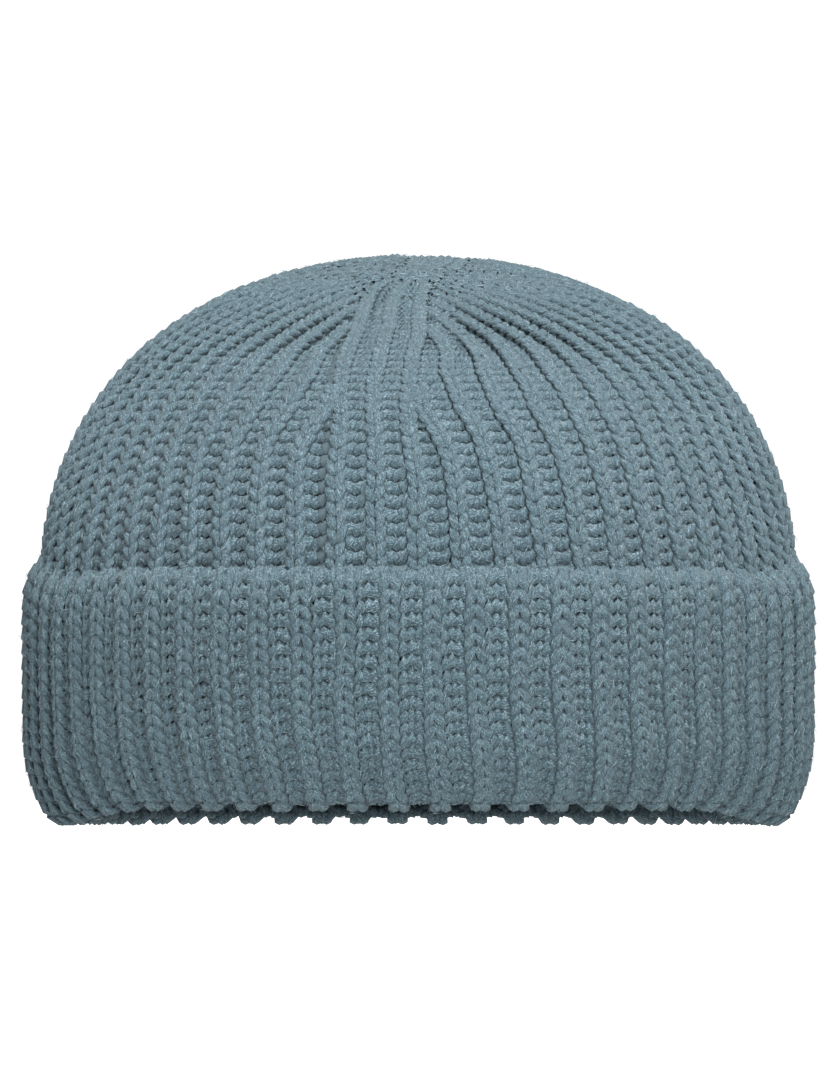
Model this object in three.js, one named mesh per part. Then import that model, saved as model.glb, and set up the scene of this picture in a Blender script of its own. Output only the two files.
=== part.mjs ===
// A rib-knit beanie with a turned-up cuff, standing on its rim.
//
// Frame: millimetres, +Z up. The wearer's face looks along -Y and +X is to the right of
// somebody who looks at the front. The origin is the middle of the footprint, on the table.
//
// The hat is one knitted tube. It runs up inside the cuff, over the head and in to a gathered
// centre. At the rim it turns outwards and runs back up as the cuff, which ends in a rounded
// cast-on border. The walls are corrugated like the real 1x1 rib: a raised column on one face
// is a valley on the other. Towards the centre the columns, called wales, merge in pairs along
// the two sides of four bands that run straight over the head.

import * as THREE from 'three';
import { mergeVertices } from 'three/addons/utils/BufferGeometryUtils.js';

// Driving dimensions, in millimetres and degrees.

const WIDTH = 190;            // the cuff from ear to ear, over the raised wales
const DEPTH = 213;            // the cuff from front to back
const CUFF_TOP = 66.5;        // the border's upper edge above the table, at the ears
const CROWN_TUCK = 6.5;       // how far below the cuff's top the dome begins
const CROWN_RISE = 74;        // from the start of the dome to its outer top
const WALL = 4;               // one knitted layer, over the raised wales of both faces
const RELIEF = 1.2;           // depth of the valleys between the wales
const CLEARANCE = 0.3;        // between pieces that rest on each other
const BORDER_HEIGHT = 5;      // the cast-on border
const BORDER_PROUD = 0.3;     // how far the border stands out past the cuff
const GATHER_RADIUS = 6;      // the gathered centre
const RIM_CURL = 6;           // how far the rim curls inwards
const CURL_HEIGHT = 24;       // how far up the curl begins
const FOOT_WIDTH = 2.4;       // the flat that the rim rests on
const RIM_ARCH = 4.2;         // how far the rim lifts off the table at the front
const EDGE_DIP = 5.4;         // how far the cuff's top edge dips at the front
const CROWN_LEAN = 16;        // how far the top of the dome leans towards the front, degrees
const CUFF_SLANT = -1.9;      // how far the cuff's wales swing to one side above the rim, degrees
const FRONT_BAND = -5.3;      // where the front band runs, degrees from the middle of the front

const BANDS = 4;              // bands that run straight to the centre
const BAND_WALES = 3;         // raised wales in each band
const PANEL_WALES = 12;       // raised wales between two bands, which merge on the way up
const MERGE_PITCH = 0.915;    // share of the full wale width at which merging begins

// Dome profile: radius share = sin^RADIUS_POWER, height share = cos^HEIGHT_POWER.
const RADIUS_POWER = 0.8;
const HEIGHT_POWER = 1.01;
const LEAN_POWER = 4;

// What follows from them.

const WALES = BANDS * (BAND_WALES + PANEL_WALES);
const WALE_ANGLE = 360 / WALES;
const LAYER_PITCH = WALL + CLEARANCE + 0.1 * CLEARANCE;       // from one layer's middle to the next
const CROWN_BASE = CUFF_TOP - CROWN_TUCK;
const PAIR_SHIFT = -WALL / 2 - LAYER_PITCH / 2;               // from the outside to between the layers
const BODY = -LAYER_PITCH / 2;                                // the body's middle, from the pair's
const CUFF = LAYER_PITCH / 2;                                 // the cuff's middle, from the pair's
const FOLD_HALF = LAYER_PITCH / 2 + WALL / 2;                 // half of the folded rim's thickness
const JOIN_HEIGHT = FOLD_HALF;                                // where the body stands on the fold
const TOTAL_HEIGHT = CROWN_BASE + CROWN_RISE;

const rad = THREE.MathUtils.degToRad;

// Smooth step from 0 to 1.
const ease = (x) => {
  const t = THREE.MathUtils.clamp(x, 0, 1);
  return t * t * (3 - 2 * t);
};

// Degrees wrapped to -180..180, 0 at the middle of the front.
const fromFront = (phi) => THREE.MathUtils.euclideanModulo(phi + 180, 360) - 180;

// The rim's arch and the edge's dip at an angle round the hat.
const archAt = (phi) => RIM_ARCH * (1 - ease((Math.abs(fromFront(phi)) - 28) / 40));
const dipAt = (phi) => EDGE_DIP * Math.max(0, Math.cos(rad(phi))) ** 2;

// How a soft hat settles: the rim lifts at the front, and the cuff's edge dips there.
function settle(phi, z) {
  const rise = Math.max(0, 1 - z / TOTAL_HEIGHT);
  const dip = Math.sin(Math.PI * Math.min(1, z / (2 * CUFF_TOP)));
  return archAt(phi) * rise - dipAt(phi) * dip;
}

// A point on an oval with the given half axes. Equal steps of phi give equal steps of length
// round the cuff, which is deeper than it is wide.
function oval(phi, halfX, halfY) {
  const oblong = (DEPTH - WIDTH) / (DEPTH + WIDTH) / 2;
  const turn = rad(phi) + oblong * Math.sin(2 * rad(phi));
  return [halfX * Math.sin(turn), -halfY * Math.cos(turn)];
}

// The two layers stand side by side up to the dome. A point lies d outside the middle of the
// pair at height z, and the pair curls inwards towards the rim.
function pairPoint(phi, d, z) {
  const curl = RIM_CURL * Math.max(0, 1 - z / CURL_HEIGHT) ** 2;
  const inset = PAIR_SHIFT + d - curl;
  const [x, y] = oval(phi, WIDTH / 2 + inset, DEPTH / 2 + inset);
  return new THREE.Vector3(x, y, z + settle(phi, z));
}

// The middle of the body's wall on the dome: psi is 90 degrees at its base and 0 at the top.
function domeMiddle(phi, psi) {
  const inset = PAIR_SHIFT + BODY;
  const share = Math.max(0, Math.sin(rad(psi))) ** RADIUS_POWER;
  const [x, y] = oval(phi, (WIDTH / 2 + inset) * share, (DEPTH / 2 + inset) * share);
  const z = (CROWN_RISE - WALL / 2) * Math.max(0, Math.cos(rad(psi))) ** HEIGHT_POWER;
  const lean = rad(CROWN_LEAN) * Math.max(0, Math.cos(rad(psi))) ** LEAN_POWER;
  const height = CROWN_BASE + y * Math.sin(lean) + z * Math.cos(lean);
  return new THREE.Vector3(
    x,
    y * Math.cos(lean) - z * Math.sin(lean),
    height + settle(phi, CROWN_BASE + z) * Math.sin(rad(psi)),
  );
}

// A point off the middle of the dome's wall, along the wall's normal.
function domePoint(phi, psi, off) {
  const step = 0.5;
  const low = Math.max(psi, step);
  const across = domeMiddle(phi + step, low).sub(domeMiddle(phi - step, low));
  const up = domeMiddle(phi, low - step).sub(domeMiddle(phi, low + step));
  const top = new THREE.Vector3(0, -Math.sin(rad(CROWN_LEAN)), Math.cos(rad(CROWN_LEAN)));
  const normal = psi < step ? top : across.cross(up).normalize();
  return domeMiddle(phi, psi).addScaledVector(normal, off);
}

// The wales.

// Each column of the grid is a raised wale's top or the valley beside it. Band columns keep
// their distance from the band's middle. Panel columns keep theirs from the panel's middle and
// stop at the seam beside the band, where the wales merge one after another.
const columns = [];
for (let band = 0; band < BANDS; band++) {
  const middle = FRONT_BAND + band * (360 / BANDS);
  for (let k = -BAND_WALES; k <= BAND_WALES; k++) {
    columns.push({ middle, steps: k / 2, panel: false, raised: (k + BAND_WALES) % 2 === 1 });
  }
  for (let k = 1 - PANEL_WALES; k < PANEL_WALES; k++) {
    columns.push({
      middle: middle + 180 / BANDS,
      steps: k / 2,
      panel: true,
      raised: (k + PANEL_WALES) % 2 === 1,
    });
  }
}

// How many wales a ring of the dome has room for, from all of them down to the bands' own.
function walesAt(psi) {
  const share = Math.max(0, Math.sin(rad(psi))) ** RADIUS_POWER;
  return THREE.MathUtils.clamp((WALES * share) / MERGE_PITCH, BANDS * BAND_WALES, WALES);
}

// Where a column stands when the ring has so many wales, and whether it is still raised.
function placeColumn(column, wales) {
  const alpha = 360 / wales;
  const limit = 180 / BANDS - (BAND_WALES / 2) * alpha;
  const wanted = column.steps * alpha;
  if (!column.panel) return { phi: column.middle + wanted, raised: column.raised };
  const held = THREE.MathUtils.clamp(wanted, -limit, limit);
  const open = Math.abs(wanted) < limit - 1e-6;
  return { phi: column.middle + held, raised: column.raised && open };
}

// Distance from the wall's middle to its face. On the outer face the raised wales stand out,
// and seen from the inside the same wales are the valleys.
const outerFace = (raised) => WALL / 2 - (raised ? 0 : RELIEF);
const innerFace = (raised) => -WALL / 2 + (raised ? RELIEF : 0);

// Meshes.

// A closed skin over rows of points. Every row goes once round the hat, and the last row joins
// the first one again. Columns that have merged leave triangles without area, which are dropped.
function skin(rows, closed = true) {
  const count = rows[0].length;
  const geometry = new THREE.BufferGeometry();
  const flat = rows.flat().flatMap((p) => [p.x, p.y, p.z]);
  geometry.setAttribute('position', new THREE.Float32BufferAttribute(flat, 3));
  const index = [];
  const last = closed ? rows.length : rows.length - 1;
  for (let r = 0; r < last; r++) {
    const next = (r + 1) % rows.length;
    for (let c = 0; c < count; c++) {
      const d = (c + 1) % count;
      const [a, b] = [r * count + c, r * count + d];
      const [e, f] = [next * count + c, next * count + d];
      index.push(a, b, f, a, f, e);
    }
  }
  geometry.setIndex(index);
  const merged = mergeVertices(geometry, 1e-3);
  const old = merged.index.array;
  const kept = [];
  for (let i = 0; i < old.length; i += 3) {
    const [a, b, c] = [old[i], old[i + 1], old[i + 2]];
    if (a !== b && b !== c && c !== a) kept.push(a, b, c);
  }
  merged.setIndex(kept);
  return merged;
}

const yarn = (color) => new THREE.MeshStandardMaterial({ color, roughness: 0.95, metalness: 0 });

function piece(name, geometry, color) {
  const mesh = new THREE.Mesh(geometry, yarn(color));
  mesh.name = name;
  return mesh;
}

// The body: up its outer face from the fold to the gathered centre, and down its inner face.
function crownBody() {
  const uprights = [JOIN_HEIGHT + CLEARANCE, CURL_HEIGHT / 2, CURL_HEIGHT];
  const rings = [90, 76, 62, 49, 37, 27, 19, 12.5, 7.5, 4.2];
  const opening = Math.asin((GATHER_RADIUS / (WIDTH / 2)) ** (1 / RADIUS_POWER));
  const psis = [...rings.filter((psi) => rad(psi) > 1.4 * opening), THREE.MathUtils.radToDeg(opening)];
  const upright = (z, face) => columns.map((column) => {
    const { phi, raised } = placeColumn(column, WALES);
    return pairPoint(phi, BODY + face(raised), z);
  });
  const ring = (psi, face) => columns.map((column) => {
    const { phi, raised } = placeColumn(column, walesAt(psi));
    return domePoint(phi, psi, face(raised));
  });
  return skin([
    ...uprights.map((z) => upright(z, outerFace)),
    ...psis.map((psi) => ring(psi, outerFace)),
    ...psis.toReversed().map((psi) => ring(psi, innerFace)),
    ...uprights.toReversed().map((z) => upright(z, innerFace)),
  ]);
}

// The last wales are drawn together into a small plug that fills the end of the body.
function crownClosure() {
  const radius = GATHER_RADIUS - 1.5 * CLEARANCE;
  const edge = THREE.MathUtils.radToDeg(Math.asin((radius / (WIDTH / 2)) ** (1 / RADIUS_POWER)));
  const ring = (psi, off, relief) => columns
    .filter((column) => !column.panel)
    .map((column) => {
      const { phi, raised } = placeColumn(column, BANDS * BAND_WALES);
      return domePoint(phi, psi, off - (raised ? 0 : relief));
    });
  return skin([
    ring(0, -WALL / 2, 0),
    ring(edge, -WALL / 2, 0),
    ring(edge, WALL / 2, RELIEF),
    ring(edge * 0.4, WALL / 2, RELIEF / 2),
    ring(0, WALL / 2 - RELIEF, 0),
  ], false);
}

// The cuff's columns: its raised wales are the body's valleys, and they swing a little to one
// side above the rim.
const cuffColumns = Array.from({ length: 2 * WALES }, (_, i) => ({
  phi: FRONT_BAND + (i * WALE_ANGLE) / 2,
  raised: i % 2 === 1,
}));

function cuffRing(d, z, relief) {
  const swing = CUFF_SLANT * ease(z / (CUFF_TOP / 2));
  return cuffColumns.map(({ phi, raised }) => pairPoint(phi + swing, d + relief(raised), z));
}

// The cuff: down its outer face, round the fold under the body, and up its inner face.
function cuff() {
  const plain = () => 0;
  const outside = (raised) => (raised ? 0 : -RELIEF);
  const inside = (raised) => (raised ? RELIEF : 0);
  const top = CUFF_TOP - BORDER_HEIGHT - CLEARANCE;
  const half = FOOT_WIDTH / 2;
  const round = FOLD_HALF - half;
  return skin([
    cuffRing(CUFF + WALL / 2, top, outside),
    cuffRing(CUFF + WALL / 2, CURL_HEIGHT, outside),
    cuffRing(CUFF + WALL / 2, CURL_HEIGHT / 2, outside),
    cuffRing(CUFF + WALL / 2, JOIN_HEIGHT, outside),
    cuffRing(half + round * Math.SQRT1_2, JOIN_HEIGHT * (1 - Math.SQRT1_2), plain),
    cuffRing(half, 0, plain),
    cuffRing(-half, 0, plain),
    cuffRing(-half - round * Math.SQRT1_2, JOIN_HEIGHT * (1 - Math.SQRT1_2), plain),
    cuffRing(-FOLD_HALF, JOIN_HEIGHT, plain),
    cuffRing(CUFF - WALL / 2, JOIN_HEIGHT, inside),
    cuffRing(CUFF - WALL / 2, CURL_HEIGHT / 2, inside),
    cuffRing(CUFF - WALL / 2, CURL_HEIGHT, inside),
    cuffRing(CUFF - WALL / 2, top, inside),
  ].toReversed());
}

// The cast-on border: a rounded bead on the cuff's upper end, clear of the body behind it.
function castOnEdge() {
  const inner = CUFF - WALL / 2;
  const outer = CUFF + WALL / 2 + BORDER_PROUD;
  const width = outer - inner;
  const low = CUFF_TOP - BORDER_HEIGHT;
  const plain = () => 0;
  return skin([
    cuffRing(inner, low, plain),
    cuffRing(inner, low + BORDER_HEIGHT * 0.7, plain),
    cuffRing(inner + width * 0.3, CUFF_TOP, plain),
    cuffRing(inner + width * 0.7, CUFF_TOP, plain),
    cuffRing(outer, low + BORDER_HEIGHT * 0.65, plain),
    cuffRing(outer, low, plain),
  ].toReversed());
}

// The hat.

const hat = new THREE.Group();
hat.add(
  piece('crown_body', crownBody(), '#8ba1a9'),
  piece('crown_closure', crownClosure(), '#93a9b0'),
  piece('cuff', cuff(), '#687f89'),
  piece('cast_on_edge', castOnEdge(), '#71878f'),
);

// The origin is the middle of the footprint.
const box = new THREE.Box3().setFromObject(hat, true);
const middle = box.getCenter(new THREE.Vector3());
hat.position.set(-middle.x, -middle.y, -box.min.z);

export default hat;
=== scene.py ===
# %% [markdown]
# # A ribbed beanie, knitted out of real yarn
#
# The hat is one knitted tube in 1x1 rib: raised columns of V shapes, called wales, with a
# valley between each two. It runs from the cast-on edge down the outside of the cuff, round
# the fold at the rim, up inside the cuff, over the head and in to the gathered centre.
#
# A bump map could fake the ribs, but it looks flat wherever light grazes the wool. Here each
# round of knitting is one long strand of yarn, swept as a thin tube along the path that yarn
# takes through its stitches. The gaps, shadows and scalloped rim then come by themselves.
# A last pair of pieces lays loose fibres on the yarn, for the brushed look of wool.

import math

import bpy
import numpy as np
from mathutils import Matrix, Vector


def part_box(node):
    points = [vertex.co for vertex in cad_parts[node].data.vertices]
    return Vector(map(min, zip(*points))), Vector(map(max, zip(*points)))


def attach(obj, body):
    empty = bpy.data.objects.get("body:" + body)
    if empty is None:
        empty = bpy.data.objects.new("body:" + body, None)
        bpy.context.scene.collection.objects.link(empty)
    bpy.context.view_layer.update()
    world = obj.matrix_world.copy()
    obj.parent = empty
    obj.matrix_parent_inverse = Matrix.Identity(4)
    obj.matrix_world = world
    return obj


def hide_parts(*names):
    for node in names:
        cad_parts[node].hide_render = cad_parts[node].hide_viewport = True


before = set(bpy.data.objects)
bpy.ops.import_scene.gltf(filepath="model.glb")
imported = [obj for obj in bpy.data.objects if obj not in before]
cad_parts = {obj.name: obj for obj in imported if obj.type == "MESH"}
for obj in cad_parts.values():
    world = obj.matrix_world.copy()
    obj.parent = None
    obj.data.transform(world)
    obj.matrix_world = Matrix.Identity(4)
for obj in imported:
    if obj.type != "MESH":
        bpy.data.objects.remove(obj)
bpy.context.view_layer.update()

MM = 0.001
cuff_low, cuff_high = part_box("cuff")
edge_low, edge_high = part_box("cast_on_edge")
HALF_WIDTH = (cuff_high.x - cuff_low.x) / 2 / MM
HALF_DEPTH = (cuff_high.y - cuff_low.y) / 2 / MM
CUFF_TOP = edge_high.z / MM
print(f"cuff {2 * HALF_WIDTH:.1f} x {2 * HALF_DEPTH:.1f} mm, edge at {CUFF_TOP:.1f} mm")

# %% [markdown]
# ## The hat's form
#
# Everything hangs on one smooth sheet in the middle of the knitted wall. A place on it is a
# turn round the hat, in degrees from the middle of the front, and a distance along the tube,
# in millimetres from the bottom of the fold. Positive distances run up inside the cuff and
# over the head, negative ones run up the outside of the cuff. A sheet like this is easier to
# knit on than a sculpted mesh, because every stitch knows its neighbours.

# %% Sizes of the form, in millimetres and degrees
CROWN_BASE = CUFF_TOP - 6.5      # where the dome begins, hidden behind the cuff's edge
CROWN_RISE = 74.8                # from there to the top of the dome
WALL = 4.0                       # one knitted layer
LAYER_PITCH = 4.33               # from the middle of one layer to the middle of the other
RIM_CURL = 7.5                   # how far the rim curls inwards
CURL_HEIGHT = 22.0               # how far up the curl begins
RIM_ARCH = 4.2                   # the rim's lift at the front
EDGE_DIP = 5.4                   # the dip of the cuff's edge at the front
EDGE_GRIP = 4.0                  # how far the cuff's edge leans in at the sides
ARCH_FADE = (45.0, 81.0)         # degrees from the front over which the rim's lift fades
DIP_FADE = (62.0, 86.0)          # and those over which the dip fades
SETTLE_TOP = 134.0               # the height at which the lift has faded away
GRIP_REACH = 6.5                 # how far above and below the edge it leans in
CROWN_LEAN = 13.0                # the dome leans to the front, in degrees
CUFF_SLANT = -1.2                # the cuff's wales swing aside above the rim, in degrees
CROWN_SWING = -2.2               # and the crown's on their way up the dome
POLE_SWING = -12.0               # and once more where they are gathered
FRONT_BAND = -5.9                # the band that runs straight up the front, in degrees
FOLD_RADIUS = LAYER_PITCH / 2
FOLD_HEIGHT = FOLD_RADIUS + 2.3  # the middle of the fold, with a little over half a layer below
EDGE_RADIUS = 1.3                # the turn of the cast-on border
EDGE_HEIGHT = CUFF_TOP - 4.0     # the middle of that turn
FOLD_ARC = FOLD_RADIUS * math.pi / 2
CUFF_LENGTH = EDGE_HEIGHT - FOLD_HEIGHT + FOLD_ARC
BODY_LENGTH = CROWN_BASE - FOLD_HEIGHT + FOLD_ARC
print(f"the cuff's knitting is {CUFF_LENGTH:.1f} mm long from the fold to the border")


# %% The shape of the dome
RADIUS_POWER = 0.8               # below 1, which makes the dome fuller than a half ellipse
HEIGHT_POWER = 1.01              # almost a plain cosine


def dome_profile(tilt):
    """Radius share and height share: the sine and the cosine of the tilt, each to its power."""
    return np.sin(tilt).clip(0) ** RADIUS_POWER, np.cos(tilt).clip(0) ** HEIGHT_POWER


tilts = np.linspace(np.pi / 2, 0, 2000)
shares, rises = dome_profile(tilts)
mean_radius = (HALF_WIDTH + HALF_DEPTH) / 2 - WALL / 2 - LAYER_PITCH
steps = np.hypot(np.diff(shares * mean_radius), np.diff(rises * (CROWN_RISE - WALL / 2)))
arcs = np.concatenate([[0], np.cumsum(steps)])
DOME_ARC = arcs[-1]
print(f"the dome's arc is {DOME_ARC:.1f} mm from the cuff to the gathered centre")


# %% The sheet in the middle of the wall
def ease(x):
    """Smooth step from 0 to 1: three squares minus two cubes."""
    x = np.clip(x, 0, 1)
    return x * x * (3 - 2 * x)


def grow(x, span):
    """From 0 at the start of the span to 1 at its end."""
    return ease((x - span[0]) / (span[1] - span[0]))


def fade(x, span):
    """From 1 at the start of the span to 0 at its end."""
    return 1 - grow(x, span)


def settle(turn, z):
    """How a soft hat sinks: the rim lifts at the front and the cuff's edge dips there.

    The lift fades evenly up to the top of the hat. The dip is a sine of the height, and is
    deepest at the cuff's edge. Both ease away round the hat.
    """
    from_front = np.abs((turn + 180) % 360 - 180)
    arch = RIM_ARCH * fade(from_front, ARCH_FADE) * (1 - z / SETTLE_TOP).clip(0)
    dip = EDGE_DIP * fade(from_front, DIP_FADE)
    return arch - dip * np.sin(np.pi * np.clip(z / (2 * CUFF_TOP), 0, 1))


def oval(turn, inset):
    """A ring of the hat, drawn in by the inset. The sine of twice the turn evens the steps."""
    oblong = (HALF_DEPTH - HALF_WIDTH) / (HALF_DEPTH + HALF_WIDTH) / 2
    angle = np.radians(turn) + oblong * np.sin(2 * np.radians(turn))
    return (HALF_WIDTH - inset) * np.sin(angle), -(HALF_DEPTH - inset) * np.cos(angle)


def grip(turn, z):
    """How far the cuff's edge leans in: a bell curve in height, full at the sides."""
    at_sides = 0.5 + 0.5 * np.sin(np.radians(turn)) ** 2
    return EDGE_GRIP * at_sides * np.exp(-((z - CUFF_TOP) / GRIP_REACH) ** 2)


def upright_part(turn, along):
    """The two layers and the fold between them.

    A half circle makes the rim, and straight walls stand on it. A smaller half circle turns
    the cuff's border inwards. The rim's curl is a parabola in height.
    """
    length = np.abs(along)
    bend = np.clip(along / FOLD_RADIUS, -np.pi / 2, np.pi / 2)
    out = -FOLD_RADIUS * np.sin(bend)
    z = FOLD_HEIGHT - FOLD_RADIUS * np.cos(bend) + (length - FOLD_ARC).clip(0)
    over = ((-along - CUFF_LENGTH) / EDGE_RADIUS).clip(0, np.pi)
    rest = ((-along - CUFF_LENGTH) / EDGE_RADIUS - np.pi).clip(0) * EDGE_RADIUS
    out = out - np.where(over > 0, EDGE_RADIUS * (1 - np.cos(over)), 0)
    past = EDGE_HEIGHT + EDGE_RADIUS * np.sin(over) - rest
    z = np.where(over > 0, past, z)
    curl = RIM_CURL * (1 - z / CURL_HEIGHT).clip(0) ** 2
    drawn_in = np.where(along < 0, grip(turn, z), 0)
    x, y = oval(turn, WALL / 2 + FOLD_RADIUS - out + curl + drawn_in)
    return x, y, z + settle(turn, z)


def dome_part(turn, along):
    """Ovals that shrink by the profile and lean to the front, most of all at the top.

    The lean goes with the fourth power of the height, so the dome's foot stays on the cuff.
    """
    tilt = np.interp(along - BODY_LENGTH, arcs, tilts)
    share, rise = dome_profile(tilt)
    z = (CROWN_RISE - WALL / 2) * rise
    x, y = oval(turn, WALL / 2 + LAYER_PITCH)
    x, y = x * share, y * share
    lean = math.radians(CROWN_LEAN) * np.cos(tilt).clip(0) ** 4
    high = CROWN_BASE + y * np.sin(lean) + z * np.cos(lean)
    sunk = settle(turn, CROWN_BASE + z) * np.sin(tilt)
    return x, y * np.cos(lean) - z * np.sin(lean), high + sunk


def sheet(turn, along):
    """The sheet in the middle of the wall: upright below the dome, the dome above."""
    below = np.stack(upright_part(turn, np.minimum(along, BODY_LENGTH)), -1)
    above = np.stack(dome_part(turn, np.maximum(along, BODY_LENGTH)), -1)
    return np.where((along > BODY_LENGTH)[..., None], above, below)


print("front of the cuff's edge", np.round(sheet(np.array([0.0]), np.array([-CUFF_LENGTH])), 1))

# %% [markdown]
# ## Rounds and wales
#
# A round of knitting is one row of stitches, about 3.4 mm high. Near the fold the rounds sit
# closer together, because the bent wool bunches up there. Sixty wales go round the hat. Over
# the head they run out of room, so they merge: four bands of three wales run straight to the
# centre, and the wales beside each band end at its seam one after another.

# %% Rounds: from a row's number to its place
CUFF_ROWS = 18
DOME_ROWS = 39
WALES = 60
BANDS = 4                        # bands that run straight to the centre
BAND_WALES = 3
PANEL_WALES = WALES // BANDS - BAND_WALES
BUNCHED_ROWS = 1.1               # how many rows' length the fold takes up on each side
BUNCH_REACH = 5                  # over how many rows that is spread
GATHER_ARC = 3.0                 # the last round stops this far from the centre, in millimetres
SWING_ROWS = (CUFF_ROWS, 38)     # rows over which the crown's wales swing aside
POLE_ROWS = (40, 55)             # and over which they swing on to the centre
# width: of a wale, as a share of one on the cuff. band: of a band's wale, beside the others.
DOME_WALES = np.array([
    # row  width  band
    (26.0, 0.915, 1.00),
    (31.5, 0.912, 0.88),
    (36.0, 0.846, 0.95),
    (39.0, 0.760, 1.07),
    (43.5, 0.645, 1.12),
    (54.0, 0.450, 1.35),
])


def packed_rows(count):
    """Rows from the fold, less what an exponential takes away near it."""
    return count - BUNCHED_ROWS * (1 - np.exp(-count / BUNCH_REACH))


def row_place(row):
    """Distance along the tube: rows sit closer near the fold, and evenly far from it."""
    count = np.abs(row)
    share = packed_rows(count) / packed_rows(CUFF_ROWS)
    cuff_side = -CUFF_LENGTH * share
    inner_side = BODY_LENGTH * np.minimum(share, 1)
    dome_side = (count - CUFF_ROWS).clip(0) * (DOME_ARC - GATHER_ARC) / DOME_ROWS
    return np.where(row < 0, cuff_side, inner_side + dome_side)


def wales_at(row):
    """How many wales a round has room for, from sixty down to the twelve of the bands."""
    tilt = np.interp(row_place(row) - BODY_LENGTH, arcs, tilts)
    share, _ = dome_profile(tilt)
    width = np.interp(row, DOME_WALES[:, 0], DOME_WALES[:, 1])
    return np.clip(WALES * share / width, BANDS * BAND_WALES, WALES)


print("wales in every sixth round", np.round(wales_at(np.arange(18, 58, 6.0)), 1))


# %% Wales: from a wale's number to its turn round the hat
def panel_half(row):
    """Half a panel's width, in wales: what is left between a band's seam and the middle."""
    return wales_at(row) / (2 * BANDS) - BAND_WALES / 2


def waver(middle, number, row):
    """Knitting is never quite straight: two slow sines, a panel's and a wale's, in degrees."""
    shared = 0.22 * np.sin(row * 0.31 + middle * 0.07)
    own = 0.16 * np.sin(row * 0.73 + number * 1.9)
    return (shared + own) * np.minimum(wales_at(row) / WALES, 1)


def wale_turn(middle, is_panel, number, row):
    """Degrees round the hat of a wale's middle, and degrees from one wale to the next there."""
    band_pitch = np.interp(row, DOME_WALES[:, 0], DOME_WALES[:, 2]) * 360 / wales_at(row)
    band_pitch = np.minimum(band_pitch, 360 / (BANDS * BAND_WALES))
    panel = 360 / BANDS - BAND_WALES * band_pitch
    panel_pitch = panel / (2 * np.maximum(panel_half(row), 0.25))
    pitch = np.where(is_panel, panel_pitch, band_pitch)
    swing = CUFF_SLANT * ease(-row_place(row) / (CUFF_TOP / 2))
    swing = swing + CROWN_SWING * grow(row, SWING_ROWS)
    near_pole = (row - POLE_ROWS[0]) / (POLE_ROWS[1] - POLE_ROWS[0])
    swing = swing + POLE_SWING * near_pole.clip(0) ** 2
    return middle + number * pitch + swing + waver(middle, number, row), pitch


def wales_of_round(row):
    """Middles, kinds and numbers of the wales in this round. One ends where it meets a band."""
    half = panel_half(np.float64(row))
    wales = []
    in_panel = np.arange(PANEL_WALES) - (PANEL_WALES - 1) / 2
    for band in range(BANDS):
        middle = FRONT_BAND + 360 / BANDS * band
        wales += [(middle, False, float(k)) for k in (-1, 0, 1)]
        wales += [(middle + 180 / BANDS, True, k) for k in in_panel if abs(k) < half + 0.2]
    return wales


print("stitches in rounds 18, 36 and 50:", [len(wales_of_round(r)) for r in (18, 36, 50)])

# %% [markdown]
# ## One stitch
#
# In 1x1 rib the yarn makes a knit stitch and then a purl stitch. The knit stitch has its two
# legs in front, a V, and hides its head and feet behind. The purl stitch is the same thing
# seen from the back: its head and feet lie in front as a bar across the valley. So one list
# of points serves for both, turned inside out for the purl. The points are joined by a
# smooth spline, and the places where the tube gets its rings are spread along its length.

# %% The path of the yarn through a knit stitch and a purl stitch
# across: share of a wale's pitch. up: rows. out: share of the stitch depth.
# wide: share of the yarn's width, less where two legs share a wale, more where it lies free.
STITCH_HALF = np.array([
    # across  up     out   wide
    (-0.250, 0.46, 0.00, 0.95),
    (-0.190, 0.20, -0.72, 1.20),
    (-0.100, -0.05, -0.95, 1.30),
    (-0.050, 0.02, 0.15, 0.78),
    (-0.095, 0.42, 0.94, 0.82),
    (-0.150, 0.90, 1.00, 0.88),
    (-0.165, 1.22, 0.30, 0.90),
    (-0.090, 1.12, -0.80, 1.15),
])
STITCH_HEAD = np.array([(0.0, 0.95, -1.05, 1.30)])
STITCH_DEPTH = 0.95
RIB_RELIEF = 0.64
WALE_WIDTH = 9.9
ROW_HEIGHT = 3.4
STITCH_SCALE = (WALE_WIDTH, ROW_HEIGHT, STITCH_DEPTH)
YARN_RADIUS = 1.2
YARN_WIDE = 1.22                 # the soft yarn spreads along the cloth
YARN_THIN = 0.8                  # and is pressed flatter through it


def stitch_points():
    """One repeat: the knit stitch, then the purl one, half a pitch along and inside out."""
    right = STITCH_HALF[::-1] * (-1, 1, 1, 1)
    knit = np.concatenate([STITCH_HALF, STITCH_HEAD, right[:-1]])
    purl = knit * (1, 1, -1, 1) + (0.5, 0, 0, 0)
    return np.concatenate([knit, purl])


def smooth_path(points, count):
    """A closed Catmull-Rom spline, cut at equal steps along its length."""
    shift = np.array([1.0, 0, 0, 0])
    before, after = points[-1] - shift, points[:2] + shift
    p = np.concatenate([[before], points, after])
    t = np.linspace(0, 1, 12, endpoint=False)[None, :, None]
    a, b, c, d = (p[i:i + len(points), None, :] for i in range(4))
    curve = b + 0.5 * t * (c - a + t * (2 * a - 5 * b + 4 * c - d + t * (3 * (b - c) + d - a)))
    curve = curve.reshape(-1, 4)
    loop = np.concatenate([curve, curve[:1] + shift])
    lengths = np.linalg.norm(np.diff(loop[:, :3], axis=0) * STITCH_SCALE, axis=1)
    whole = np.concatenate([[0], np.cumsum(lengths)])
    cuts = np.linspace(0, whole[-1], count, endpoint=False)
    at = np.interp(cuts, whole, np.arange(len(loop)))
    path = np.stack([np.interp(at, np.arange(len(loop)), loop[:, i]) for i in range(4)], -1)
    return path, cuts, whole[-1]


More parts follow.
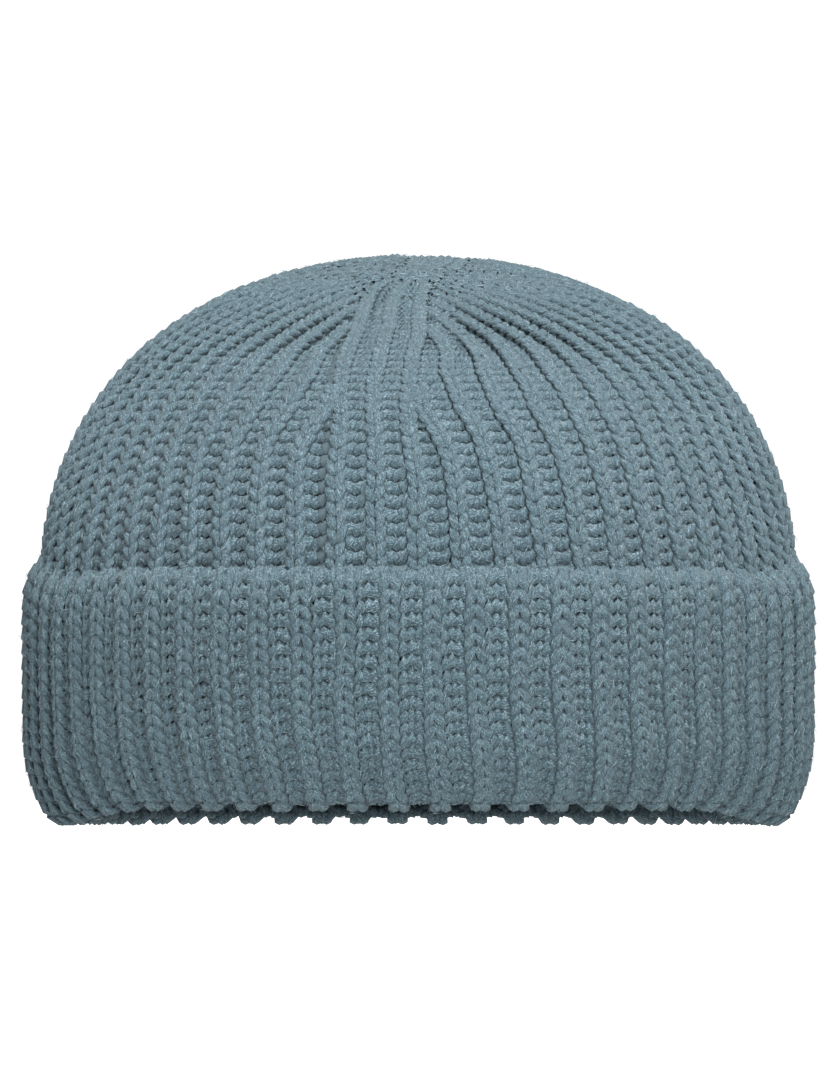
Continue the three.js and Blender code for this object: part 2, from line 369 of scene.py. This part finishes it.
path, run, yarn_length = smooth_path(stitch_points(), 20)
print(f"a repeat takes {yarn_length:.1f} mm of yarn, cut into {len(path)} rings")

# %% [markdown]
# ## Ribs that change over the hat
#
# On a real hat the ribs are not the same all over. They stand out where the wool is free: at
# the rim, at the sides and in the panels of the dome. They lie flat where something presses
# on them or draws them together: inside the cuff, at the cast-on border and near the gathered
# centre. Nearly every change is a smooth step between two rows, which is quicker to set right
# than ribs that are sculpted one by one. Rows are counted from the fold, and the cuff's are
# negative.

# %% Where something changes, in rows, and by how much
BORDER_ROWS = (16.2, 18.4)       # the cast-on draws the cuff's last rounds together
PRESS_ROWS = (-1, 1)             # the cuff begins to press on the layer inside it
FREE_ROWS = (17.5, 19.5)         # and there the crown comes free of the cuff
SIDE_ROWS = (30, 40)             # the deep ribs at the sides fade away
LOW_CUFF_ROWS = (-13, -7)        # the cuff's ribs deepen on the way down
PANEL_ROWS = (32, 44)            # the panels' ribs deepen on the way up
PANEL_END_ROWS = (46, 54)        # and fade away
TOP_ROWS = (42, 51)              # all ribs flatten near the centre
CENTRE_ROWS = (52.5, 57.5)       # and so do the stitches
RIM_REACH = 2.5                  # the rim's ribs are deep over so many rows each way
INSIDE_PRESS = 0.25              # the share of its thickness that the pressed layer loses
CENTRE_PRESS = 0.55              # and that the gathered stitches lose
SIDE_DEPTH = 0.9                 # what the sides add to the ribs' relief, as a share of it
PANEL_DEPTH = 2.1                # what the panels add
BORDER_SMOOTH = 0.7              # and what the border takes away


# %% How thick the stitches stand, and how far ridges and valleys part
def border(row):
    """From 0 to 1 over the last rounds of the cuff."""
    return grow(-row, BORDER_ROWS)


def press(row):
    """The share of its thickness that a round keeps."""
    inside = grow(row, PRESS_ROWS) * fade(row, FREE_ROWS)
    return (1 - INSIDE_PRESS * inside) * (1 - CENTRE_PRESS * grow(row, CENTRE_ROWS))


def rib_relief(row, turn, from_seam):
    """How far ridges and valleys part: a base size, plus and minus what each place changes.

    The sides' share is the fourth power of the sine of the turn, and the hidden rounds inside
    the cuff don't have it. The rim's share is a bell curve.
    """
    shown = np.abs(row - CUFF_ROWS / 2) > CUFF_ROWS / 2
    at_sides = np.sin(np.radians(turn)) ** 4 * fade(row, SIDE_ROWS) * shown
    at_rim = np.exp(-(row / RIM_REACH) ** 2)
    low_cuff = grow(row, LOW_CUFF_ROWS) * (row < 0) * (1 - at_rim)
    panels = from_seam * grow(row, PANEL_ROWS) * fade(row, PANEL_END_ROWS)
    added = SIDE_DEPTH * at_sides + at_rim + low_cuff + PANEL_DEPTH * panels
    smooth = BORDER_SMOOTH * border(row) + grow(row, TOP_ROWS)
    return RIB_RELIEF * (1 + added - smooth)


print("thickness kept in rounds 0, 9, 30 and 56:", np.round(press(np.array([0, 9, 30, 56])), 2))

# %% [markdown]
# ## From a path to a tube
#
# The path lives on the sheet: across, up and out. Small steps on the sheet give the three
# directions there, and the yarn's rings stand square to the path. Besides its place, each
# point of the tube keeps its place on the yarn, as an attribute: how far along the strand it
# is, and where in the strand's round section, turned with the twist. The wool's fibres
# follow this attribute, so they run along the yarn through every bend.
#
# The cuff is the same tube turned over at the rim, so it shows the tube's other face. Its
# valleys are therefore sunk the other way than the crown's.

# %% Placing points of the path on the hat
def on_sheet(turn, along, out):
    """A point at a distance out from the sheet, with the sheet's across, up and out there."""
    step = 0.25
    centre = sheet(turn, along)
    across = sheet(turn + step, along) - sheet(turn - step, along)
    up = sheet(turn, along + step) - sheet(turn, along - step)
    normal = np.cross(across, up)
    normal /= np.linalg.norm(normal, axis=-1, keepdims=True)
    return centre + normal * out[..., None], normal


def yarn_turn(wales, p, rows):
    """Each point's turn: ridges keep their pitch, and valleys fill what is left between them."""
    turn, pitch = wale_turn(*wales, rows)
    after, pitch_after = np.roll(turn, -1, 0), np.roll(pitch, -1, 0)
    after[-1] += 360
    start, end = turn + 0.25 * pitch, after - 0.25 * pitch_after
    valley = start + (p - 0.25) * 2 * np.maximum(end - start, 0.1 * pitch)
    return np.where(p < 0.25, turn + p * pitch, valley)


# %% One round of yarn
NUDGES = (0.012, 0.045, 0.06, 0.035)  # how stitches differ: aside, up, in depth and in width
BORDER_FLAT = 0.35               # the share of their depth that the border's stitches lose
TOP_FLAT = 0.4                   # and that the topmost ones lose
TOP_FLAT_ROWS = (44, 53)
BORDER_FAT = 0.2                 # how much thicker the border's yarn is, as a share
TOP_FAT = 0.16                   # and the crown's near the top
TOP_FAT_ROWS = (42, 47)
PRESSED_THIN = 0.4               # how far the yarn thins with the stitches that are pressed
PANEL_SLIM = 0.85                # powers of the wales' narrowing that the yarn follows
BAND_SLIM = 0.5
FOLD_ROWS = 4                    # how far from the fold the next two reach
FOLD_WIDE = 0.22                 # the valleys' yarn widens there
FOLD_SLIM = 0.5                  # and the ridges' yarn narrows, so that the rim is scalloped


def yarn_round(row, path, seed):
    """The middle line of one round: the stitch path repeated, each stitch a little its own."""
    rng = np.random.default_rng(seed)
    wales = [np.array(column)[:, None] for column in zip(*wales_of_round(row))]
    _, is_panel, number = wales
    nudge = rng.normal(0, 1, (len(number), 4)) * NUDGES
    side, lift, depth, fat = (nudge[:, i:i + 1] for i in range(4))
    p = path[None, :, 0]
    hump = np.cos(np.pi * p.clip(-0.5, 0.5))
    ridge = np.cos(np.pi * p) ** 2
    rows = row + path[None, :, 1] + lift * hump
    turn = yarn_turn(wales, p + side * hump, rows)
    edge = border(rows)
    flat = 1 - BORDER_FLAT * edge - TOP_FLAT * grow(row, TOP_FLAT_ROWS)
    from_seam = np.where(is_panel, ease((panel_half(np.float64(row)) - np.abs(number)) / 1.2), 0)
    relief = rib_relief(rows, turn, from_seam)
    out = STITCH_DEPTH * path[None, :, 2] * (1 + depth) * flat
    shown_side = 1 if row >= CUFF_ROWS else -1
    sunk = shown_side * (relief - RIB_RELIEF).clip(0)
    out = out + relief * np.cos(2 * np.pi * p) - sunk
    place, normal = on_sheet(turn, row_place(rows), out * press(row))
    radius = YARN_RADIUS * (1 + fat * hump) * (1 + BORDER_FAT * edge)
    radius = radius * (1 - PRESSED_THIN * (1 - press(row)))
    radius = radius * (1 + TOP_FAT * grow(row, TOP_FAT_ROWS))
    narrowing = min(np.interp(row, DOME_WALES[:, 0], DOME_WALES[:, 1]) / DOME_WALES[0, 1], 1)
    slim = narrowing ** np.where(is_panel, PANEL_SLIM, BAND_SLIM)
    bunched = 1 + math.exp(-abs(row) / FOLD_ROWS) * (FOLD_WIDE - FOLD_SLIM * ridge)
    spread = path[None, :, 3] * (1 - (1 - slim) * ridge) * bunched * np.ones_like(radius)
    return place.reshape(-1, 3), normal.reshape(-1, 3), radius.ravel(), spread.ravel()


# %% The tube round the yarn's middle line
TWIST = 0.55                     # radians that the fibres turn round the strand in a millimetre


def tube(place, normal, radius, spread, run, repeat_length, sides):
    """Rings square to the path, and each point's place on the twisted strand.

    Each ring is an ellipse: a cosine through the cloth and a sine along it.
    """
    ahead = np.roll(place, -1, 0) - np.roll(place, 1, 0)
    ahead /= np.linalg.norm(ahead, axis=1, keepdims=True) + 1e-9
    side = np.cross(ahead, normal)
    side /= np.linalg.norm(side, axis=1, keepdims=True) + 1e-9
    top = np.cross(side, ahead)
    angle = np.linspace(0, 2 * np.pi, sides, endpoint=False)
    thin = YARN_THIN * np.cos(angle)[None, :, None]
    wide = YARN_WIDE * np.sin(angle)[None, :, None] * spread[:, None, None]
    ring = thin * top[:, None] + wide * side[:, None]
    points = place[:, None] + ring * radius[:, None, None]
    repeats = len(place) // len(run)
    strand = (np.arange(repeats)[:, None] * repeat_length + run[None, :]).ravel()
    twist = angle[None, :] + strand[:, None] * TWIST
    u = np.broadcast_to(strand[:, None], twist.shape)
    fibre = np.stack([u, radius[:, None] * np.cos(twist), radius[:, None] * np.sin(twist)], -1)
    return points.reshape(-1, 3), fibre.reshape(-1, 3)


def tube_faces(rings, sides):
    """Quads between each ring and the next one, the last ring joined to the first."""
    ring = np.arange(rings)[:, None]
    here = ring * sides
    there = (ring + 1) % rings * sides
    k = np.arange(sides)[None, :]
    after = (k + 1) % sides
    quads = np.stack([here + k, there + k, there + after, here + after], -1)
    return quads.reshape(-1, 4)


# %% Turning arrays into a mesh
def make_piece(name, points, faces, fibre=None):
    """Puts points in millimetres and faces into a mesh with smooth shading."""
    mesh = bpy.data.meshes.new(name)
    mesh.vertices.add(len(points))
    mesh.vertices.foreach_set("co", (points * MM).astype(np.float32).ravel())
    mesh.loops.add(faces.size)
    mesh.loops.foreach_set("vertex_index", faces.astype(np.int32).ravel())
    mesh.polygons.add(len(faces))
    starts = np.arange(0, faces.size, faces.shape[1], dtype=np.int32)
    mesh.polygons.foreach_set("loop_start", starts)
    mesh.polygons.foreach_set("use_smooth", np.ones(len(faces), dtype=bool))
    if fibre is not None:
        strand = mesh.attributes.new("strand", "FLOAT_VECTOR", "POINT")
        strand.data.foreach_set("vector", fibre.astype(np.float32).ravel())
    mesh.update(calc_edges=True)
    mesh.validate()
    piece = bpy.data.objects.new(name, mesh)
    bpy.context.scene.collection.objects.link(piece)
    print(f"{name}: {(faces.shape[1] - 2) * len(faces)} triangles")
    return piece


# %% A piece of several rounds
FIRST_SEED = 700                 # each round draws its own random numbers
ROUND_SHIFT = 37.0               # and no two rounds show the same stretch of fibres
strands = {"crown": [], "cuff": []}


def knit_rounds(name, first, last, rings, sides):
    """A piece made of the rounds from first to last, each one a closed strand."""
    path, run, repeat_length = smooth_path(stitch_points(), rings)
    all_points, all_faces, all_fibre, start = [], [], [], 0
    for row in range(first, last + 1):
        place, normal, radius, spread = yarn_round(row, path, FIRST_SEED + row)
        points, fibre = tube(place, normal, radius, spread, run, repeat_length, sides)
        all_faces.append(tube_faces(len(place), sides) + start)
        all_points.append(points)
        all_fibre.append(fibre + (row * ROUND_SHIFT, 0, 0))
        if row < 1 or row >= CUFF_ROWS:
            strands["crown" if row > 0 else "cuff"].append(points.reshape(-1, sides, 3))
        start += len(points)
    joined = [np.concatenate(part) for part in (all_points, all_faces, all_fibre)]
    return make_piece(name, *joined)


# %% [markdown]
# ## Knitting the hat
#
# The rounds are gathered into a few pieces, so that each mesh stays light enough to handle.
# The rounds that only show from inside the hat get fewer rings and sides.

# %% The rounds of the crown
SHOWN = (20, 6)                  # rings along one repeat of the yarn's path, and their sides
HIDDEN = (13, 4)
crown_lower = knit_rounds("crown_rounds_lower", 18, 29, *SHOWN)
crown_middle = knit_rounds("crown_rounds_middle", 30, 42, *SHOWN)
crown_top = knit_rounds("crown_rounds_top", 43, 56, *SHOWN)
inner_band = knit_rounds("crown_rounds_inside_cuff", 1, 17, *HIDDEN)

# %% The rounds of the cuff
cuff_upper = knit_rounds("cuff_rounds_upper", -18, -10, *SHOWN)
cuff_lower = knit_rounds("cuff_rounds_lower", -9, 0, *SHOWN)
cuff_border = knit_rounds("cast_on_rounds", -20, -19, *SHOWN)


# %% [markdown]
# ## The gathered centre
#
# The last stitches hang on a thread that draws them together, like the neck of a purse. Three
# small closed strands stand for it, one inside the other, each drawn into lobes by the
# stitches that hang on it. A disc or a ball would look like a button on top of the hat.

# %% Strands round the centre
GATHER_RINGS = 96                # rings of points along each gathered strand
GATHER_SIDES = 8
GATHER_RADIUS = 0.85
GATHER_STRANDS = [
    # reach  lobes  lift: how far from the centre a strand lies, and how far out of the sheet
    (2.9, 12, 0.5),
    (1.7, 8, 0.3),
    (0.6, 5, 0.2),
]
LOBE_SHARE = 0.16                # how far a lobe sticks out, as a share of the reach
LOBE_LIFT = 0.25                 # and how far up, in millimetres
STRAND_SHIFT = 11.0              # shows another stretch of fibres on each strand


def gathered_ring(reach, lobes, lift):
    """A closed strand round the centre, drawn into lobes by the stitches that hang on it."""
    turn = np.linspace(0, 360, GATHER_RINGS, endpoint=False)
    wave = np.cos(np.radians(lobes * turn))
    along = BODY_LENGTH + DOME_ARC - reach * (1 + LOBE_SHARE * wave)
    place, normal = on_sheet(turn, along, lift + LOBE_LIFT * wave)
    length = 2 * np.pi * reach
    run = np.linspace(0, length, GATHER_RINGS, endpoint=False)
    radius = np.full(GATHER_RINGS, GATHER_RADIUS)
    spread = np.ones(GATHER_RINGS)
    points, fibre = tube(place, normal, radius, spread, run, length, GATHER_SIDES)
    return points, tube_faces(GATHER_RINGS, GATHER_SIDES), fibre + (reach * STRAND_SHIFT, 0, 0)


rings = [gathered_ring(*strand) for strand in GATHER_STRANDS]
ring_size = len(rings[0][0])
gather = make_piece(
    "crown_gather",
    np.concatenate([points for points, _, _ in rings]),
    np.concatenate([faces + ring_size * i for i, (_, faces, _) in enumerate(rings)]),
    np.concatenate([fibre for _, _, fibre in rings]),
)

# %% [markdown]
# ## Loose fibres
#
# Brushed wool has a halo of fibres that slipped out of the twist. Each is a thin spindle of
# six triangles, laid on a strand a little askew, with one end lifted. A hair system would
# need far more geometry for fibres that are less than a pixel wide.


# %% Spindles on the strands
FIBRE = 0.075                    # half a fibre's thickness, in millimetres
TRIANGLE = [(1, 0), (-0.5, 0.87), (-0.5, -0.87)]
SPINDLE_FACES = [(1, 2, 4), (2, 3, 4), (3, 1, 4), (2, 1, 0), (3, 2, 0), (1, 3, 0)]
HAT_MIDDLE = (0, 0, 45)          # fibres are laid only on sides that face away from here
ASKEW = (0.35, 0.5)              # mean and spread of a fibre's angle to the strand, in radians
HALF_LENGTHS = (0.9, 2.1)        # the shortest and the longest half of a fibre
END_LIFT = 0.5                   # the most that the free end stands off the yarn
WAIST_LIFT = 0.14                # and how far the waist and the other end do
ROOT_LIFT = 0.05
FLOOR_CLEARANCE = 0.1            # no fibre reaches below this height


def directions(vectors):
    """The vectors at length one. One without a length has no direction and becomes NaN."""
    length = np.linalg.norm(vectors, axis=1, keepdims=True)
    return vectors / np.where(length > 0, length, np.nan)


def loose_fibres(name, rounds, share, seed):
    """One piece of spindles. The share is how many there are to each ring of the strands."""
    rng = np.random.default_rng(seed)
    corners = []
    for strand in rounds:
        count = int(len(strand) * share)
        ring = rng.integers(0, len(strand), count)
        spot = rng.integers(0, strand.shape[1], count)
        root = strand[ring, spot]
        away = directions(root - strand.mean(1)[ring])
        along = directions(strand[(ring + 1) % len(strand), spot] - strand[ring - 1, spot])
        askew = rng.normal(*ASKEW, (count, 1))
        lie = along * np.cos(askew) + np.cross(along, away) * np.sin(askew)
        beside = np.cross(lie, away)
        half = rng.uniform(*HALF_LENGTHS, (count, 1))
        lift = rng.uniform(0.0, END_LIFT, (count, 1))
        middle = root + WAIST_LIFT * away
        waist = [middle + FIBRE * (a * away + b * beside) for a, b in TRIANGLE]
        ends = [root - half * lie + ROOT_LIFT * away, root + half * lie + lift * away]
        spindle = np.stack([ends[0], *waist, ends[1]], 1)
        outside = ((root - HAT_MIDDLE) * away).sum(1) > 0
        above_floor = spindle[:, :, 2].min(1) > FLOOR_CLEARANCE
        corners.append(spindle[outside & above_floor])
    corners = np.concatenate(corners)
    faces = np.arange(len(corners))[:, None, None] * 5 + np.array(SPINDLE_FACES)[None]
    return make_piece(name, corners.reshape(-1, 3), faces.reshape(-1, 3))


crown_fuzz = loose_fibres("crown_loose_fibres", strands["crown"], 0.46, 5)
cuff_fuzz = loose_fibres("cuff_loose_fibres", strands["cuff"], 0.60, 6)

# %% [markdown]
# ## Wool
#
# Wool yarn has no sharp highlight. Its colour comes from thousands of fibres that lie along
# the strand, some lighter than others, with a soft light rim where loose fibres catch the
# light. Stretched noise on the strand's own coordinates draws the fibres, a bump gives them
# relief, and sheen gives the rim.

# %% A wool material
def wool(name, dark, middle, light):
    """Fibres as noise stretched along the strand."""
    material = bpy.data.materials.new(name)
    material.use_nodes = True
    nodes, links = material.node_tree.nodes, material.node_tree.links
    shader = nodes["Principled BSDF"]
    strand = nodes.new("ShaderNodeAttribute")
    strand.attribute_name = "strand"
    fine = nodes.new("ShaderNodeMapping")
    fine.inputs["Scale"].default_value = (0.6, 4.6, 4.6)
    links.new(strand.outputs["Vector"], fine.inputs["Vector"])
    streaks = nodes.new("ShaderNodeTexNoise")
    streaks.inputs["Scale"].default_value = 1.0
    streaks.inputs["Detail"].default_value = 1.0
    streaks.inputs["Roughness"].default_value = 0.6
    links.new(fine.outputs["Vector"], streaks.inputs["Vector"])
    ramp = nodes.new("ShaderNodeValToRGB")
    ramp.color_ramp.elements[0].position = 0.36
    ramp.color_ramp.elements[0].color = (*dark, 1)
    ramp.color_ramp.elements[1].position = 0.68
    ramp.color_ramp.elements[1].color = (*light, 1)
    ramp.color_ramp.elements.new(0.53).color = (*middle, 1)
    links.new(streaks.outputs["Fac"], ramp.inputs["Fac"])
    links.new(ramp.outputs["Color"], shader.inputs["Base Color"])
    bump = nodes.new("ShaderNodeBump")
    bump.inputs["Strength"].default_value = 0.8
    bump.inputs["Distance"].default_value = 0.0004
    links.new(streaks.outputs["Fac"], bump.inputs["Height"])
    links.new(bump.outputs["Normal"], shader.inputs["Normal"])
    shader.inputs["Roughness"].default_value = 0.92
    shader.inputs["Specular IOR Level"].default_value = 0.15
    shader.inputs["Sheen Weight"].default_value = 0.12
    shader.inputs["Sheen Roughness"].default_value = 0.5
    shader.inputs["Sheen Tint"].default_value = (0.75, 0.86, 0.90, 1)
    return material


crown_wool = wool("crown_wool", (0.029, 0.051, 0.063), (0.053, 0.086, 0.103), (0.140, 0.195, 0.222))
cuff_wool = wool("cuff_wool", (0.028, 0.050, 0.062), (0.053, 0.086, 0.102), (0.138, 0.193, 0.219))

# %% A plain wool for the loose fibres, coloured paler than the yarn as a painted highlight
fuzz_wool_painted_highlight = bpy.data.materials.new("fuzz_wool_painted_highlight")
fuzz_wool_painted_highlight.use_nodes = True
fuzz_shader = fuzz_wool_painted_highlight.node_tree.nodes["Principled BSDF"]
# The pale base colour is painted highlight: the light that stray fibres catch, set into their
# colour
fuzz_shader.inputs["Base Color"].default_value = (0.20, 0.272, 0.302, 1)
fuzz_shader.inputs["Roughness"].default_value = 0.9
fuzz_shader.inputs["Specular IOR Level"].default_value = 0.15

# %% [markdown]
# ## Dressing the pieces
#
# Each knitted piece takes the place of a plain solid: the crown's rounds stand for the crown,
# the cuff's for the cuff, and the border and the gathered centre for their own. The solids
# are then hidden, so that no plain surface shows between the stitches. Nothing on the hat
# turns or slides, so every piece rides on the same body.

# %% Wool and a solid for each piece
for piece in (crown_lower, crown_middle, crown_top, inner_band):
    piece.data.materials.append(crown_wool)
    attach(piece, "root")
    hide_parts("crown_body")
for piece in (cuff_upper, cuff_lower):
    piece.data.materials.append(cuff_wool)
    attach(piece, "root")
    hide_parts("cuff")
cuff_border.data.materials.append(cuff_wool)
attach(cuff_border, "root")
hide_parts("cast_on_edge")
for piece, node, slot in (
    (crown_fuzz, "crown_body", "crown_knit"),
    (cuff_fuzz, "cuff", "cuff_knit"),
):
    piece.data.materials.append(fuzz_wool_painted_highlight)
    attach(piece, "root")
    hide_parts(node)
gather.data.materials.append(crown_wool)
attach(gather, "root")
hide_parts("crown_closure")

# %% [markdown]
# ## Studio
#
# The hat stands on a wide pale floor that rises softly at its far edge all round, so no
# horizon shows from any side. A long lens far away keeps the rim and the cuff's edge almost
# flat, as a product camera does.

# %% A floor with a raised edge
FLOOR_HALF = 8.0                 # half the floor's side, in metres
FLOOR_STEPS = 40
EDGE_RISE = 1.2                  # how high the edge rises, in metres
RISE_SPAN = (5.6, 7.2)           # and how far from the hat it does so
reach = np.linspace(-FLOOR_HALF, FLOOR_HALF, FLOOR_STEPS + 1)
wide, deep = np.meshgrid(reach, reach)
rise = EDGE_RISE * grow(np.hypot(wide, deep), RISE_SPAN)
floor_points = np.stack([wide, deep, rise], -1).reshape(-1, 3) / MM
across, back = np.meshgrid(np.arange(FLOOR_STEPS), np.arange(FLOOR_STEPS))
corner = (back * (FLOOR_STEPS + 1) + across).ravel()
behind = corner + FLOOR_STEPS + 1
floor_quads = np.stack([corner, corner + 1, behind + 1, behind], -1)
backdrop = make_piece("studio_floor", floor_points, floor_quads)

# %% Paper that glows a little, so that it is white from every side
paper = bpy.data.materials.new("paper")
paper.use_nodes = True
paper_shader = paper.node_tree.nodes["Principled BSDF"]
paper_shader.inputs["Base Color"].default_value = (0.2, 0.2, 0.2, 1)
paper_shader.inputs["Roughness"].default_value = 0.9
paper_shader.inputs["Emission Color"].default_value = (1, 1, 1, 1)
paper_shader.inputs["Emission Strength"].default_value = 1.0
backdrop.data.materials.append(paper)


# %% Lights
def soft_light(name, place, aim, size, watts):
    """A square area light turned so that it looks at a point."""
    lamp = bpy.data.lights.new(name, "AREA")
    lamp.energy = watts
    lamp.size = size
    holder = bpy.data.objects.new(name, lamp)
    holder.location = place
    holder.rotation_euler = (Vector(aim) - Vector(place)).to_track_quat("-Z", "Y").to_euler()
    holder.visible_camera = False
    bpy.context.scene.collection.objects.link(holder)
    return holder


middle = (0, 0, 0.07)
soft_light("key_above_front", (0.12, -0.5, 1.5), middle, 0.6, 57)
soft_light("fill_front", (0.2, -2.2, 0.28), middle, 0.5, 53)
soft_light("fill_back", (-0.2, 2.2, 0.6), middle, 0.5, 40)
world = bpy.data.worlds.new("studio")
bpy.context.scene.world = world
world.use_nodes = True
world.node_tree.nodes["Background"].inputs["Color"].default_value = (1, 1, 1, 1)
world.node_tree.nodes["Background"].inputs["Strength"].default_value = 0.05
bpy.context.scene.view_settings.view_transform = "Standard"

# %% Camera
PICTURE = (840, 1080)            # the picture's size in pixels
PIXEL = 0.2393                   # millimetres of hat to one of those pixels
FLOOR_LINE = 828                 # the row of the picture where the floor meets the hat
MIDDLE_COLUMN = 418.5            # the column that the hat's middle falls on
DISTANCE = 4.5
lens_height = 0.020
aim_height = (FLOOR_LINE - PICTURE[1] / 2) * PIXEL * MM
aim_side = (PICTURE[0] / 2 - MIDDLE_COLUMN) * PIXEL * MM
camera_data = bpy.data.cameras.new("camera")
camera_data.sensor_width = 36
camera_data.lens = 36 * DISTANCE / (PICTURE[1] * PIXEL * MM)
camera_data.clip_end = 50
camera = bpy.data.objects.new("camera", camera_data)
camera.location = (aim_side, -DISTANCE, lens_height)
camera.rotation_euler = (math.pi / 2 + math.atan((aim_height - lens_height) / DISTANCE), 0, 0)
bpy.context.scene.collection.objects.link(camera)
bpy.context.scene.camera = camera
print(f"lens {camera_data.lens:.0f} mm at {DISTANCE} m")
